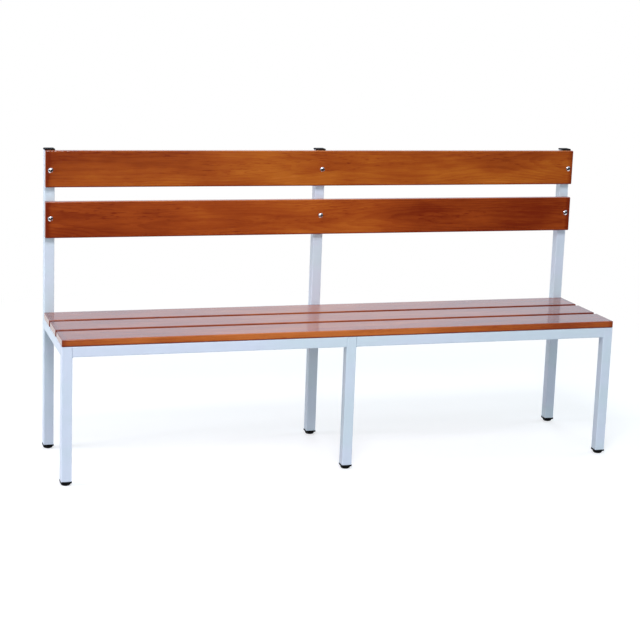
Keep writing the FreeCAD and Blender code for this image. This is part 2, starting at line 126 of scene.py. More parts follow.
def share(name, description, default):
    """A number from nothing to one."""
    return number(name, description, default, subtype="FACTOR", min=0, max=1)


def angle(name, description, degrees):
    """An angle, given in degrees and kept in radians."""
    return number(name, description, math.radians(degrees), subtype="ANGLE")


def level(name, description, default):
    """A number that is nothing or more, such as a lamp's power."""
    return number(name, description, default, min=0)


class BenchWoodSettings(bpy.types.PropertyGroup):
    """Stained and varnished boards."""

    bare: colour("Bare wood", "Wood that took hardly any stain", (0.52, 0.140, 0.025))
    pale: colour("Pale wood", "Early wood under the stain", (0.43, 0.103, 0.013))
    middle: colour("Middle wood", "The stain's own colour", (0.33, 0.060, 0.0085))
    dark: colour("Dark wood", "Late wood and streaks", (0.17, 0.018, 0.0035))
    ring_spacing: length("Ring spacing", "Width of one year's growth", 5.5)
    pith_depth: length("Pith depth", "How far below the face the tree's middle lies", 75)
    wander: length("Wander", "How far the grain strays along the board", 26)
    late_wood: share("Late wood", "How much more stain the late wood of a year shows", 0.11)
    streaks: share("Streaks", "How much more stain the streaks show", 0.20)
    flecks: share("Flecks", "How much more stain the short flecks show", 0.32)
    fibres: share("Fibres", "How much more stain the fibres show", 0.17)
    blotches: share("Blotches", "How much more stain the blotches show", 0.26)
    pores: share("Pores", "How dark the open pores are", 0.35)
    pore_depth: length("Pore depth", "Depth of the open grain under the varnish", 0.05)
    waviness: length("Waviness", "How uneven the planed and varnished face is", 0.25)
    # Painted shade: how much darker a board grows towards its left end, as the light falls off there.
    darker_left: share("Darker left", "How much more stain a board's left end took", 0.30)
    # Painted shade: a board's lower edges are darkened to stand for the shade under them, up to a small
    # height.
    gathered: share("Gathered stain", "How much more stain ran down to a board's lower edges", 0.60)
    run_down: length("Run down", "How far up from its lower edges a board's stain gathered", 5)
    # Painted shade: the faces right beside a board's ends are darkened, over a short reach.
    soaked_end: share("Soaked end", "How much more stain a board took right beside its ends", 0.45)
    end_soak: length("End soak", "How far the stain soaked in from a board's ends", 22)
    darker_end: share("Darker end", "How much more stain a board's end grain took", 0.35)
    roughness: between("Roughness", "Least and most roughness under the varnish", (0.42, 0.56))
    varnish: share("Varnish", "How much varnish lies over the stain", 1.0)
    varnish_roughness: share("Varnish roughness", "How blurred the varnish's reflections are", 0.09)
    varnish_ior: level("Varnish index", "Index of refraction of the varnish", 1.64)


class BenchPaintSettings(bpy.types.PropertyGroup):
    """Powder coat on the steel."""

    cool: colour("Cool paint", "The paint's bluer tint", (0.558, 0.652, 0.728))
    warm: colour("Warm paint", "The paint's more violet tint", (0.590, 0.650, 0.770))
    mottle: share("Mottle", "How much the coat's brightness varies", 0.05)
    roughness: between("Roughness", "Least and most roughness of the coat", (0.37, 0.48))
    peel_size: length("Peel size", "Size of the coat's dimples", 1.6)
    peel_depth: length("Peel depth", "Depth of the coat's dimples", 0.03)


class BenchPlasticSettings(bpy.types.PropertyGroup):
    """Black moulded glides and caps."""

    base: colour("Plastic", "Colour of the moulded plastic", (0.003, 0.003, 0.0033))
    # Painted highlight: glints on the mould's texture.
    scuffed: colour("Scuffed plastic", "Colour where its texture catches light", (0.007, 0.007, 0.0075))
    gloss: share("Gloss", "Strength of the plastic's reflections", 0.06)
    roughness: between("Roughness", "Least and most roughness of the skin", (0.47, 0.63))
    texture_size: length("Texture size", "Size of the mould's texture", 0.5)
    texture_depth: length("Texture depth", "Depth of the mould's texture", 0.06)


class BenchPlatingSettings(bpy.types.PropertyGroup):
    """Bright zinc plating on bolts, nuts, washers and screws."""

    base: colour("Plating", "Colour of the bright plating", (0.79, 0.80, 0.83))
    stained: colour("Stained plating", "Colour where the plating has dulled", (0.66, 0.65, 0.64))
    roughness: between("Roughness", "Least and most roughness of the plating", (0.11, 0.24))
    scratch_depth: length("Scratch depth", "Depth of the plating's fine scratches", 0.004)


class BenchWeldSettings(bpy.types.PropertyGroup):
    """Weld beads where the rails meet the uprights."""

    tube_corner: length("Tube corner", "Outer corner radius of the tube", 3)
    bead_radius: length("Bead radius", "Radius of a weld bead", 2.1)
    ground_radius: length("Ground bead radius", "Radius of a bead that is ground flush", 1.2)
    sunk: length("Sunk", "How far a ground bead lies below the tubes' faces", 1.9)
    ripple_pitch: length("Ripple pitch", "Distance between two ripples of the weld", 2.2)
    ripple: share("Ripple", "Height of the ripples as a part of the bead", 0.10)


class BenchFastenerSettings(bpy.types.PropertyGroup):
    """Bolts, nuts, washers and screws."""

    bolt_head: length("Bolt head", "Diameter of a coach bolt's head", 16)
    bolt_rim: length("Bolt rim", "Straight edge under the dome of the head", 0.6)
    bolt_shank: length("Bolt shank", "Diameter of a coach bolt's shank", 6)
    neck_length: length("Neck length", "Length of the square neck in the board", 4)
    washer: length("Washer", "Diameter of a washer", 14)
    washer_bore: length("Washer bore", "Diameter of a washer's hole", 6.5)
    nut_flats: length("Nut flats", "Width of a domed nut across its flats", 10)
    nut_hexagon: length("Nut hexagon", "Height of a domed nut's hexagon", 5)
    nut_dome: length("Nut dome", "Diameter of a domed nut's dome", 9.5)
    screw_head: length("Screw head", "Diameter of a pan head", 10)
    screw_head_height: length("Screw head height", "Height of a pan head", 3.5)
    screw_shank: length("Screw shank", "Diameter of a screw over its thread", 5)
    thread_pitch: length("Thread pitch", "Pitch of a screw's thread", 2)
    recess: length("Recess", "Reach of the cross recess from the middle", 2.3)
    recess_depth: length("Recess depth", "Depth of the cross recess", 1.9)


class BenchStudioSettings(bpy.types.PropertyGroup):
    """Floor, light and camera."""

    camera_place: row(
        "Camera place", "Where the camera stands", (-1.5665, -4.7310, 1.5315), subtype="TRANSLATION"
    )
    camera_turn: angle("Camera turn", "Turn of the camera to the right of straight ahead", 17.257)
    camera_tilt: angle("Camera tilt", "Tilt of the camera below the horizon", 10.709)
    camera_roll: angle("Camera roll", "Roll of the camera", 1.988)
    camera_lens: number("Lens", "Focal length on a 36 mm sensor", 88.8, unit="CAMERA")
    camera_shift: row("Shift", "Shift of the lens across and up, as parts of the frame", (0.025, -0.075))
    floor: colour("Floor", "Colour of the pale floor", (0.48, 0.50, 0.53))
    floor_glow: level("Floor glow", "Share of the floor's white that holds no shadow", 0.57)
    shadow_reach: length("Shadow reach", "How far from the middle the floor still takes a shadow", 1300)
    white_reach: length("White reach", "How far from the middle the floor is plain white", 2600)
    sky: colour("Sky", "Light from all round", (0.86, 0.97, 1.0))
    sky_level: level("Sky level", "Strength of the light from all round", 0.40)
    backdrop: colour("Backdrop", "What glossy faces see behind the bench", (0.80, 0.88, 1.0))
    dark_side: colour("Dark side", "What glossy faces see behind the camera", (0.045, 0.045, 0.05))
    flag: colour("Flag", "Dark cloth in front, which only glossy faces see", (0.03, 0.03, 0.033))
    key_light: level("Key light", "Power of the softbox in front and above, in watts", 80)
    front_light: level("Front light", "Power of the wide, low softbox in front, in watts", 155)
    left_light: level("Left light", "Power of the softbox to the left, in watts", 130)
    right_light: level("Right light", "Power of the softbox to the right, in watts", 115)
    back_light: level("Back light", "Power of the softbox behind, in watts", 170)
    warm_light: colour("Warm light", "Colour of the softboxes above and to the left", (1.0, 0.96, 1.0))
    cool_light: colour("Cool light", "Colour of the other softboxes", (0.92, 0.99, 1.0))


def group(settings, name, description):
    """One group of the bench's settings."""
    return bpy.props.PointerProperty(type=settings, name=name, description=description)


class BenchSettings(bpy.types.PropertyGroup):
    """Everything about the bench that a user would change."""

    wood: group(BenchWoodSettings, "Wood", "The boards")
    paint: group(BenchPaintSettings, "Paint", "The powder coat")
    plastic: group(BenchPlasticSettings, "Plastic", "Glides and caps")
    plating: group(BenchPlatingSettings, "Plating", "Bright zinc")
    welds: group(BenchWeldSettings, "Welds", "The weld beads")
    fasteners: group(BenchFastenerSettings, "Fasteners", "Bolts, nuts, washers and screws")
    studio: group(BenchStudioSettings, "Studio", "Floor, light and camera")


# Node trees


class Waves(NamedTuple):
    """Noise of so many waves per metre along each axis, and where its marks begin and are full."""

    scale: tuple
    detail: float = 2.0
    roughness: float = 0.5
    marks: tuple = (0.3, 0.7)


def even(scale):
    """The same number of waves along each axis."""
    return (scale, scale, scale)


class NodeTree:
    """Short calls that add nodes to a tree and join them."""

    def __init__(self, tree):
        self.tree = tree
        self.tree.nodes.clear()

    def add(self, kind, **settings):
        node = self.tree.nodes.new(kind)
        for name, setting in settings.items():
            setattr(node, name, setting)
        return node

    def feed(self, target, source):
        """Feed a socket from another one, or set it to a plain value."""
        if isinstance(source, bpy.types.NodeSocket):
            self.tree.links.new(source, target)
        else:
            target.default_value = source

    def feed_all(self, node, sources):
        """Feed a node's first sockets in their order."""
        for socket, source in zip(node.inputs, sources):
            self.feed(socket, source)
        return node.outputs

    def math(self, operation, *values):
        node = self.add("ShaderNodeMath", operation=operation)
        return self.feed_all(node, values)["Value"]

    def total(self, *terms):
        """The sum of value and weight pairs."""
        result = 0.0
        for value, weight in terms:
            result = self.math("MULTIPLY_ADD", value, weight, result)
        return result

    def vector(self, operation, *values):
        node = self.add("ShaderNodeVectorMath", operation=operation)
        return self.feed_all(node, values)["Value" if operation == "LENGTH" else "Vector"]

    def split(self, vector):
        return tuple(self.feed_all(self.add("ShaderNodeSeparateXYZ"), (vector,)))

    def combine(self, x, y, z):
        return self.feed_all(self.add("ShaderNodeCombineXYZ"), (x, y, z))["Vector"]

    def noise(self, vector, waves):
        node = self.add("ShaderNodeTexNoise", noise_dimensions="3D")
        self.feed(node.inputs["Vector"], self.vector("MULTIPLY", vector, waves.scale))
        self.feed(node.inputs["Scale"], 1.0)
        self.feed(node.inputs["Detail"], waves.detail)
        self.feed(node.inputs["Roughness"], waves.roughness)
        return node.outputs[0]

    def spread(self, value, low, high, to_low=0.0, to_high=1.0):
        """Map a range of a value to another range, held at its ends."""
        node = self.add("ShaderNodeMapRange", interpolation_type="SMOOTHSTEP")
        return self.feed_all(node, (value, low, high, to_low, to_high))["Result"]

    def marks(self, vector, waves):
        """The marks of a noise, from none to full."""
        return self.spread(self.noise(vector, waves), *waves.marks)

    def mix(self, factor, first, second, blend="MIX"):
        """Mix two colours."""
        node = self.add("ShaderNodeMix", data_type="RGBA", blend_type=blend)
        sockets = {socket.identifier: socket for socket in node.inputs}
        self.feed(sockets["Factor_Float"], factor)
        self.feed(sockets["A_Color"], first)
        self.feed(sockets["B_Color"], second)
        return next(socket for socket in node.outputs if socket.identifier == "Result_Color")

    def bump(self, height, depth):
        node = self.add("ShaderNodeBump")
        self.feed(node.inputs["Distance"], depth)
        self.feed(node.inputs["Height"], height)
        return node.outputs["Normal"]

    def glow(self, kind, rgba, strength=1.0):
        """Light of a colour and strength, from a surface or from the world."""
        return self.feed_all(self.add(kind), (rgba, strength))[0]

    def choose(self, factor, first, second):
        """Mix two shaders."""
        return self.feed_all(self.add("ShaderNodeMixShader"), (factor, first, second))["Shader"]

    def output(self, kind, surface):
        self.feed(self.add(kind).inputs["Surface"], surface)


class Finish(NodeTree):
    """A new material, ready for its nodes."""

    def __init__(self, name):
        self.material = bpy.data.materials.new(name)
        self.material.use_nodes = True
        super().__init__(self.material.node_tree)
        coordinates = self.add("ShaderNodeTexCoord")
        self.place = coordinates.outputs["Object"]
        self.facing = coordinates.outputs["Normal"]

    def set(self, **sockets):
        """Make the surface of one shader, its sockets named in lower case with low lines."""
        shader = self.add("ShaderNodeBsdfPrincipled")
        for name, source in sockets.items():
            words = name.replace("_", " ")
            target = next(socket for socket in shader.inputs if socket.name.lower() == words)
            self.feed(target, source)
        self.output("ShaderNodeOutputMaterial", shader.outputs["BSDF"])


def opaque(rgb):
    return (*rgb, 1.0)


# Varnished wood

# Waves of the wood's figure, along a board, across it and through it
RING_RIPPLE = Waves((4.5, 26, 26), 3.0)
RAGGED_RINGS = Waves((22, 90, 90), 3.0)
STREAKS = Waves((7, 48, 48), 5.0, 0.65)
BLOTCHES = Waves((4, 14, 14), 3.0)
FLECKS = Waves((30, 260, 260), marks=(0.56, 0.70))
FLECK_PATCHES = Waves((2.4, 16, 16), 1.0, marks=(0.46, 0.60))
FIBRES = Waves((9, 900, 900), 3.0, 0.6)
PORES = Waves((60, 2600, 2600), 1.0, marks=(0.60, 0.72))
VARNISH_WAVES = Waves((5, 16, 16), 1.0)

# The log that each board is cut from, in metres, and how its pith strays
LOG_SPACING = 3.7
SWAY_OFFSET = 5.0
PITH_RISE = Waves(even(0.9), 1.0, marks=(0.2, 0.8))
PITH_SWAY = Waves(even(1.3), 1.0, marks=(0.2, 0.8))

# Years of growth by which the rings ripple, and the part of a year that is late wood
RIPPLE_YEARS = 1.6
RAGGED_YEARS = 0.5
LATE_WOOD_BEGINS = 0.35
LATE_WOOD_ENDS = 0.95

# How far the fibres, the pores and the late wood stand up or lie open
FIBRE_RISE = 0.5
PORE_RISE = -1.0
LATE_WOOD_RISE = 0.25

# Where the painted shade towards the ends begins, with darker stain too at the right, as parts of half a
# board
LEFT_BEGINS = -0.1
RIGHT_BEGINS = 0.15

# How squarely a face looks along an axis, from not at all to fully such a face
FLAT_FACE = (0.75, 0.98)
ROUND_EDGE = (0.99, 0.80)
CLEAR_OF_ENDS = (0.4, 0.1)
CLEAR_OF_UNDERSIDE = (-0.999, -0.985)

# How much stain makes the wood's colours between bare and dark
PALE_STAIN = 0.2
MIDDLE_STAIN = 0.5


class Board(NamedTuple):
    """A board, how it took the stain, and the light and shade painted on it."""

    node: str
    lies_flat: bool
    stain: float
    golden: float = 1.0
    # Painted light: how much darker a board grows towards its top, so that its lower part looks lit from
    # below.
    upper_stain: float = 0.0
    # How much darker a board grows towards its right end, and how far: painted shade where the light
    # falls off, and darker stain on the lower back board.
    right_stain: float = 0.35
    right_reach: float = 1.0
    # Light and shade on narrow faces and upper edges: below nothing is paler, thinner stain with a
    # painted highlight; above nothing is painted shade, as in the seat's gaps.
    edge_stain: float = -0.44
    under_gloss: float = 0.0


# Each board's stain, with the light and shade painted on it.
BOARDS = (
    Board("seat_slat_front", True, 0.09, right_stain=0.48, right_reach=0.75, under_gloss=0.2),
    Board("seat_slat_middle", True, 0.09, edge_stain=0.12, under_gloss=0.2),
    Board("seat_slat_rear", True, 0.09, edge_stain=0.12, under_gloss=0.2),
    Board("back_slat_lower", False, 0.08, upper_stain=0.05, right_stain=0.40, right_reach=0.45),
    Board("back_slat_upper", False, 0.03, golden=1.12, upper_stain=0.09, right_stain=0.12),
)


class BoardFinish(Finish):
    """Varnished wood of one board, which is cut from its own stretch of the log."""

    def __init__(self, stretch, board, wood):
        super().__init__(f"varnished_{board.node}")
        self.board = board
        self.wood = wood
        low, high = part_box(board.node)
        self.half = (high - low) / 2
        from_middle = self.vector("SUBTRACT", self.place, low + self.half)
        self.along, y, self.up = self.split(from_middle)
        self.across, self.deep = (y, self.up) if board.lies_flat else (self.up, y)
        self.log_start = LOG_SPACING * stretch
        self.log = self.combine(self.math("ADD", self.along, self.log_start), self.across, self.deep)

    def growth_rings(self):
        """Late wood of rings about a pith that strays beside the board, so that they open into arches."""
        wood = self.wood
        ahead = self.combine(self.math("ADD", self.along, self.log_start), 0.0, 0.0)
        aside = self.combine(self.math("SUBTRACT", self.along, self.log_start), SWAY_OFFSET, 0.0)
        rise = self.noise(ahead, PITH_RISE)
        sway = self.noise(aside, PITH_SWAY)
        nearest = wood.pith_depth - wood.wander
        farthest = wood.pith_depth + wood.wander
        pith_deep = self.spread(rise, *PITH_RISE.marks, nearest, farthest)
        pith_aside = self.spread(sway, *PITH_SWAY.marks, -wood.wander, wood.wander)
        from_pith = self.combine(
            self.math("ADD", self.across, pith_aside), self.math("ADD", self.deep, pith_deep), 0.0
        )
        years = self.total(
            (self.vector("LENGTH", from_pith), 1 / wood.ring_spacing),
            (self.noise(self.log, RING_RIPPLE), RIPPLE_YEARS),
            (self.noise(self.log, RAGGED_RINGS), RAGGED_YEARS),
        )
        part_of_year = self.math("FRACT", years)
        darkens = self.spread(part_of_year, LATE_WOOD_BEGINS, LATE_WOOD_ENDS)
        stops = self.spread(part_of_year, 1.0, LATE_WOOD_ENDS)
        return self.math("MULTIPLY", darkens, stops)

    def stain_by_place(self):
        """Stain and painted light by place: edges paler with thinner stain and a painted highlight, or in
        the seat's gaps painted shade; painted shade towards and beside the ends, towards a back board's
        top and along the lower edges; darker end grain.
        """
        board, wood, half = self.board, self.wood, self.half
        # Painted shade towards both ends, and at the right also darker stain.
        to_left = self.spread(self.along, LEFT_BEGINS * half.x, -half.x)
        to_right = self.spread(self.along, RIGHT_BEGINS * half.x, board.right_reach * half.x)
        # Painted shade beside the ends.
        near_end = self.spread(self.math("ABSOLUTE", self.along), half.x - wood.end_soak, half.x)

        end_face, y_face, z_face = self.split(self.vector("ABSOLUTE", self.facing))
        flattest = self.math("MAXIMUM", end_face, self.math("MAXIMUM", y_face, z_face))
        rounded = self.spread(flattest, *ROUND_EDGE)
        long_edge = self.math("MULTIPLY", rounded, self.spread(end_face, *CLEAR_OF_ENDS))
        narrow_face = self.spread(y_face if board.lies_flat else z_face, *FLAT_FACE)
        end_grain = self.spread(end_face, *FLAT_FACE)

        # Painted shade along each board's lower edges, where they face down.
        lowest = self.spread(self.up, wood.run_down - half.z, wood.run_down / 2 - half.z)
        above = self.math("SUBTRACT", 1.0, lowest)
        # Narrow faces and rounded upper edges: the front board's are paler, partly thinner stain and
        # partly a painted highlight; the other seat boards' are darker, painted shade in the gaps.
        edge_light_mask = self.math("MULTIPLY", self.math("MAXIMUM", narrow_face, long_edge), above)
        upward = self.split(self.facing)[2]
        bottom_edge_mask = self.math("MULTIPLY", lowest, self.spread(upward, *CLEAR_OF_UNDERSIDE))
        return self.total(
            # Painted light and shade, darker towards the top of a back board.
            (self.across, board.upper_stain / (half.y if board.lies_flat else half.z)),
            (to_left, wood.darker_left),
            (to_right, board.right_stain),
            (near_end, wood.soaked_end),
            (edge_light_mask, board.edge_stain),
            (bottom_edge_mask, wood.gathered),
            (end_grain, wood.darker_end),
        )

    def shade(self, rgb):
        """A colour of the wood, as much yellower as the board's own log was."""
        red, green, blue = rgb
        return opaque((red, green * self.board.golden, blue))

    def stain_colour(self, stain):
        """The wood's colour by how much stain and painted shade it shows, from bare to dark."""
        ramp = self.add("ShaderNodeValToRGB")
        shades = ramp.color_ramp.elements
        shades[0].color = self.shade(self.wood.bare)
        shades[1].color = self.shade(self.wood.dark)
        shades.new(PALE_STAIN).color = self.shade(self.wood.pale)
        shades.new(MIDDLE_STAIN).color = self.shade(self.wood.middle)
        self.feed(ramp.inputs["Fac"], stain)
        return ramp.outputs["Color"]

    def varnished(self):
        """Rings, streaks, flecks and pores under stain and varnish."""
        board, wood, log = self.board, self.wood, self.log
        late_wood = self.growth_rings()
        fibres = self.noise(log, FIBRES)
        pores = self.marks(log, PORES)
        # The amount of stain, with light and shade painted by place.
        stain = self.total(
            (1.0, board.stain),
            (late_wood, wood.late_wood),
            (self.marks(log, STREAKS), wood.streaks),
            (self.math("MULTIPLY", self.marks(log, FLECKS), self.marks(log, FLECK_PATCHES)), wood.flecks),
            (self.spread(fibres, *FIBRES.marks), wood.fibres),
            (self.marks(log, BLOTCHES), wood.blotches),
            (self.stain_by_place(), 1.0),
        )
        open_grain = self.total((fibres, FIBRE_RISE), (pores, PORE_RISE), (late_wood, LATE_WOOD_RISE))
        in_pores = self.math("MULTIPLY", pores, wood.pores)
        self.set(
            base_color=self.mix(in_pores, self.stain_colour(stain), opaque(wood.dark)),
            roughness=self.spread(fibres, *FIBRES.marks, *wood.roughness),
            specular_ior_level=board.under_gloss,
            coat_weight=wood.varnish,
            coat_roughness=wood.varnish_roughness,
            coat_ior=wood.varnish_ior,
            normal=self.bump(open_grain, wood.pore_depth),
            coat_normal=self.bump(self.noise(log, VARNISH_WAVES), wood.waviness),
        )
        return self.material


# Paint, plastic and plating

PAINT_DRIFT = Waves((2.5, 2.5, 7), marks=(0.35, 0.65))
PAINT_SPECKLE = Waves(even(2200), 1.0)
PAINT_CLOUDS = Waves(even(40), 3.0)
PLASTIC_CLOUDS = Waves(even(130), 3.0)
PLATING_STAINS = Waves(even(260), 3.0)
PLATING_SCRATCHES = Waves((350, 350, 5200))

# Values of a noise from which the plastic takes painted glints and the plating is dulled, up to where it
# is fully so
GLINTS_AND_DULLING = (0.45, 0.75)


def powder_coat(paint):
    """Satin powder coat: a fine orange peel, and a tint that drifts along the tubes."""
    finish = Finish("powder_coat")
    tint = finish.mix(finish.marks(finish.place, PAINT_DRIFT), opaque(paint.cool), opaque(paint.warm))
    clouds = finish.noise(finish.place, PAINT_CLOUDS)
    speckle = finish.noise(finish.place, PAINT_SPECKLE)
    grey = finish.total((1.0, 1 - paint.mottle), (speckle, paint.mottle), (clouds, paint.mottle))
    peel = finish.noise(finish.place, Waves(even(1 / paint.peel_size)))
    finish.set(
        base_color=finish.mix(1.0, tint, finish.combine(grey, grey, grey), "MULTIPLY"),
        roughness=finish.spread(clouds, *PAINT_CLOUDS.marks, *paint.roughness),
        normal=finish.bump(peel, paint.peel_depth),
    )
    return finish.material


def moulded_plastic(plastic):
    """Black moulded plastic with the fine texture of its mould."""
    finish = Finish("moulded_plastic")
    texture = finish.noise(finish.place, Waves(even(1 / plastic.texture_size), roughness=0.6))
    clouds = finish.noise(finish.place, PLASTIC_CLOUDS)
    # Painted highlight: the texture's high spots take a lighter colour, as glints.
    glint_mask = finish.spread(texture, *GLINTS_AND_DULLING)
    finish.set(
        base_color=finish.mix(glint_mask, opaque(plastic.base), opaque(plastic.scuffed)),
        roughness=finish.spread(clouds, *PLASTIC_CLOUDS.marks, *plastic.roughness),
        specular_ior_level=plastic.gloss,
        normal=finish.bump(texture, plastic.texture_depth),
    )
    return finish.material


def bright_plating(plating):
    """Bright zinc plating, a little dulled in places and finely scratched."""
    finish = Finish("bright_plating")
    stains = finish.noise(finish.place, PLATING_STAINS)
    scratches = finish.noise(finish.place, PLATING_SCRATCHES)
    dulled = finish.spread(stains, *GLINTS_AND_DULLING)
    finish.set(
        base_color=finish.mix(dulled, opaque(plating.base), opaque(plating.stained)),
        metallic=1.0,
        roughness=finish.spread(stains, *PLATING_STAINS.marks, *plating.roughness),
        normal=finish.bump(scratches, plating.scratch_depth),
    )
    return finish.material


def made_once(make, settings):
    """A finish that several pieces share, named as the function that makes it."""
    return bpy.data.materials.get(make.__name__) or make(settings)


def give_finish(material, nodes):
    """Give solids of the frame their finish."""
    for node in nodes:
        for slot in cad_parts[node].material_slots:
            slot.material = material


# Mesh pieces

SHARP_EDGE = math.radians(35)
ROUND_SEGMENTS = 48
SHANK_SEGMENTS = 24


def new_piece(name, build, material, stands_for=()):
    """Make an object of a finished bmesh, on the bench's body and in place of its plain nodes."""
    bmesh.ops.recalc_face_normals(build, faces=build.faces)
    for face in build.faces:
        face.smooth = True
    for edge in build.edges:
        edge.smooth = len(edge.link_faces) == 2 and edge.calc_face_angle() < SHARP_EDGE
    mesh = bpy.data.meshes.new(name)
    build.to_mesh(mesh)
    build.free()
    mesh.materials.append(material)
    piece = bpy.data.objects.new(name, mesh)
    bpy.context.scene.collection.objects.link(piece)
    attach(piece, BODY)
    if stands_for:
        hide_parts(*stands_for)


def turned(build, profile, place, axis, segments=ROUND_SEGMENTS, shape=None):
    """Turn a profile of radius and height pairs about an axis, where a shape may change each radius."""
    to_axis = UP.rotation_difference(axis).to_matrix()
    rings = []
    for radius, height in profile:
        ring = []
        for step in range(segments if radius else 1):
            turn = math.tau * step / segments
            reach = shape(radius, height, turn) if shape else radius
            point = Vector((reach * math.cos(turn), reach * math.sin(turn), height))
            ring.append(build.verts.new(place + to_axis @ point))
        rings.append(ring)
    join_rings(build, rings, segments)
    return rings


def join_rings(build, rings, segments):
    """Skin a row of rings, any of which may be a single point."""
    for lower, upper in zip(rings, rings[1:]):
        for step in range(segments):
            following = (step + 1) % segments
            corners = [lower[step % len(lower)], lower[following % len(lower)]]
            corners += [upper[following % len(upper)], upper[step % len(upper)]]
            build.faces.new(dict.fromkeys(corners))


def dome(radius, height, base, steps=10):
    """The profile of a round dome, from its rim at base up to its crown."""
    sphere = (radius ** 2 + height ** 2) / (2 * height)
    half_turn = math.asin(min(radius / sphere, 1))
    if height > radius:
        half_turn = math.pi - half_turn
    turns = [half_turn * (1 - step / steps) for step in range(steps)]
    arc = [(sphere * math.sin(turn), base + height - sphere * (1 - math.cos(turn))) for turn in turns]
    return arc + [(0, base + height)]


# Frame of square tube

BEAD_SIDES = 10
RINGS_PER_RIPPLE = 4
FEWEST_RINGS = 8

# A bead's place: off the tubes as a part of its radius, or in their groove as a part of the corner
BEAD_STAND_OFF = 0.3
GROUND_BEAD_INSET = 0.3


class BENCH_OT_coat_tubes(bpy.types.Operator):
    """Give the welded tubes their powder coat"""

    bl_idname = "bench.coat_tubes"
    bl_label = "Coat the Tubes"

    def execute(self, context):
        paint = made_once(powder_coat, context.scene.bench.paint)
        give_finish(paint, LEGS + POSTS + CROSS_RAILS + LONG_RAILS)
        return {"FINISHED"}


def weld_bead(build, start, end, radius, welds):
    """A run of weld: a round bead with the ripples of its pool, closed at both ends."""
    run = end - start
    rings = max(round(run.length / welds.ripple_pitch * RINGS_PER_RIPPLE), FEWEST_RINGS)
    profile = [(0, 0)]
    for ring in range(1, rings):
        height = run.length * ring / rings
        to_end = min(height, run.length - height)
        taper = math.sqrt(1 - (1 - min(to_end / radius, 1)) ** 2)
        wave = math.cos(math.tau * height / welds.ripple_pitch)
        profile.append((radius * taper * (1 + welds.ripple * wave), height))
    profile.append((0, run.length))
    turned(build, profile, start, run.normalized(), BEAD_SIDES)


def weld_rail(build, node, welds):
    """Beads at both ends of a rail: under it, flush on its outer face, and in a long rail's corner."""
    low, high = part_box(node)
    is_long = node in LONG_RAILS
    axis, aside = (0, 1) if is_long else (1, 0)
    toward_middle = {"front": 1, "left": 1, "rear": -1, "right": -1}
    inward = toward_middle.get(node.split("_")[0 if is_long else -1])
    outer, inner = (high[aside], low[aside]) if inward == -1 else (low[aside], high[aside])
    corner = welds.tube_corner
    stand_off = welds.bead_radius * BEAD_STAND_OFF
    under = low.z - stand_off

    def at(along, across, z=0):
        return Vector((along, across, z) if is_long else (across, along, z))

    for end, way in ((low[axis], -1), (high[axis], 1)):
        off_end = end - way * stand_off
        start = at(off_end, low[aside] + corner, under)
        weld_bead(build, start, at(off_end, high[aside] - corner, under), welds.bead_radius, welds)
        if not inward:
            continue
        sunk_face = outer + inward * (welds.ground_radius + welds.sunk)
        groove = at(end + way * corner * GROUND_BEAD_INSET, sunk_face)
        start = groove + UP * (low.z + corner / 2)
        weld_bead(build, start, groove + UP * (high.z - corner / 2), welds.ground_radius, welds)
        if is_long:
            inside = at(off_end, inner + inward * stand_off)
            start = inside + UP * (low.z + corner)
            weld_bead(build, start, inside + UP * high.z, welds.bead_radius, welds)


class BENCH_OT_weld_rails(bpy.types.Operator):
    """Run the weld beads where the rails meet the legs and posts"""

    bl_idname = "bench.weld_rails"
    bl_label = "Weld the Rails"

    def execute(self, context):
        settings = context.scene.bench
        paint = made_once(powder_coat, settings.paint)
        for node in CROSS_RAILS + LONG_RAILS:
            build = bmesh.new()
            weld_rail(build, node, settings.welds)
            new_piece(f"welds_{node}", build, paint)
        return {"FINISHED"}


# Boards


class BENCH_OT_varnish_boards(bpy.types.Operator):
    """Give each board its own cut of stained and varnished wood"""

    bl_idname = "bench.varnish_boards"
    bl_label = "Varnish the Boards"

    def execute(self, context):
        wood = context.scene.bench.wood
        for stretch, board in enumerate(BOARDS):
            give_finish(BoardFinish(stretch, board, wood).varnished(), [board.node])
        return {"FINISHED"}


# Glides and caps


class BENCH_OT_mould_plastics(bpy.types.Operator):
    """Give the glides and caps their black moulded skin"""

    bl_idname = "bench.mould_plastics"
    bl_label = "Mould the Glides and Caps"

    def execute(self, context):
        plastic = made_once(moulded_plastic, context.scene.bench.plastic)
        give_finish(plastic, GLIDES + CAPS)
        return {"FINISHED"}


# Fasteners of the back

# Chamfer of a shank's end as a part of its radius, and eased edge of a washer as a part of its depth
SHANK_CHAMFER = 0.25
WASHER_EASE = 0.2

# A domed nut: its chamfer and its groove, and their heights above the hexagon
NUT_SEGMENTS = 60
CHAMFER_STEPS = 6
CHAMFER_REACH = 0.96
CHAMFER_SLOPE = math.tan(math.radians(30))
GROOVE_REACH = 0.97
GROOVE_HEIGHT = 0.4 * MILLIMETRE
DOME_FOOT = 0.7 * MILLIMETRE


def bolt_axes(head_diameter):
    """The middle of each bolt's place on the posts, across and up."""
    low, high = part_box("back_bolts")
    rows = (low.z + head_diameter / 2, high.z - head_diameter / 2)
    columns = [sum(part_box(post), Vector()).x / 2 for post in POSTS]
    return [(x, z) for x in columns for z in rows]


